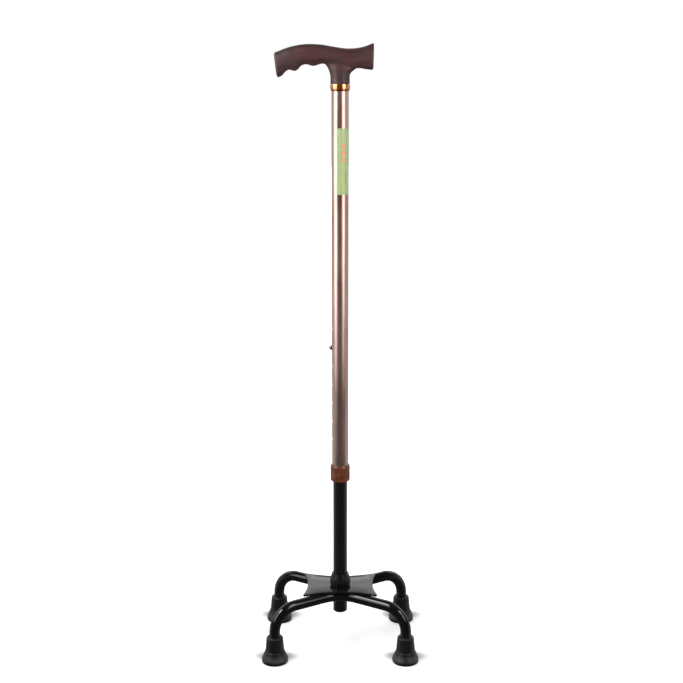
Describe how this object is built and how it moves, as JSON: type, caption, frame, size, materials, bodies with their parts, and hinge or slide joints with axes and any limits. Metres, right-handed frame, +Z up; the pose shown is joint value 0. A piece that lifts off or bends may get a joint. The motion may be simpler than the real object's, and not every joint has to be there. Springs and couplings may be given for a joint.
{
  "type": "walking cane with four-footed base",
  "caption": "T-handled walking cane on a low four-footed base, with a telescoping shaft, a snap-button height setting and screw-down locks.",
  "frame": {"origin": "on the floor, on the shaft's axis, midway between the four feet", "axes": "+Z up along the shaft; -X towards the long end of the grip and the snap button; +Y towards the back"},
  "size_m": [0.2114, 0.1684, 0.814],
  "materials": {
    "grip": "dark brown wood-effect moulding, satin",
    "gold": "polished, gold lacquered",
    "rose_tube": "rose-gold anodised, satin",
    "black_tube": "black, satin gloss",
    "black_gloss": "black powder coat, glossy",
    "brown_plastic": "red-brown, glossy",
    "black_plastic": "black, glossy",
    "nylon": "natural",
    "steel": "nickel plated",
    "spring_steel": "blank",
    "raw_aluminium": "machined",
    "foot_rubber": "satin moulded",
    "label_film": "printed film, satin"
  },
  "bodies": {
    "base": {"base_socket": "black_gloss", "base_plate": "black_gloss", "front_leg_tube": "black_gloss", "back_leg_tube": "black_gloss", "foot_front_left": "foot_rubber", "foot_front_right": "foot_rubber", "foot_back_left": "foot_rubber", "foot_back_right": "foot_rubber", "foot_discs": "steel"},
    "nut_washer": {"thrust_washer": "nylon"},
    "lock_nut": {"base_lock_nut": "black_plastic"},
    "shaft": {"lower_tube": "black_tube", "inner_glide": "black_plastic", "stop_ring": "steel", "shaft_end_cap": "black_plastic", "snap_spring": "spring_steel"},
    "button": {"snap_button": "steel"},
    "upper_shaft": {"upper_tube": "rose_tube", "guide_bush": "black_plastic", "tube_label": "label_film", "tube_top_plug": "raw_aluminium", "handle_stud": "steel", "trim_ring": "gold", "handle_grip": "grip"},
    "squeeze_ring": {"compression_ring": "nylon"},
    "collar": {"lock_collar": "brown_plastic"}
  },
  "joints": [
    {"name": "base_swivel", "type": "hinge", "parent": "base", "child": "shaft", "pos_m": [0, 0, 0.085], "axis": [0, 0, 1], "continuous": true},
    {"name": "nut_back_off", "type": "slide", "parent": "base", "child": "nut_washer", "axis": [0, 0, 1], "range_m": [0, 0.0015]},
    {"name": "nut_turn", "type": "hinge", "parent": "nut_washer", "child": "lock_nut", "pos_m": [0, 0, 0.09], "axis": [0, 0, 1], "range_deg": [0, 360]},
    {"name": "height_slide", "type": "slide", "parent": "shaft", "child": "upper_shaft", "axis": [0, 0, 1], "range_m": [-0.0254, 0.127]},
    {"name": "button_press", "type": "slide", "parent": "shaft", "child": "button", "axis": [1, 0, 0], "range_m": [0, 0.0053], "stiffness_N_per_m": 400, "springref_m": -0.002, "deforming": ["snap_spring"]},
    {"name": "collar_back_off", "type": "slide", "parent": "upper_shaft", "child": "squeeze_ring", "axis": [0, 0, -1], "range_m": [0, 0.0015]},
    {"name": "collar_turn", "type": "hinge", "parent": "squeeze_ring", "child": "collar", "pos_m": [0, 0, 0.243], "axis": [0, 0, -1], "range_deg": [0, 360]}
  ],
  "couplings": [
    {"joint": "nut_back_off", "follows": "nut_turn", "m_per_rad": 0.0002387},
    {"joint": "collar_back_off", "follows": "collar_turn", "m_per_rad": 0.0002387}
  ]
}
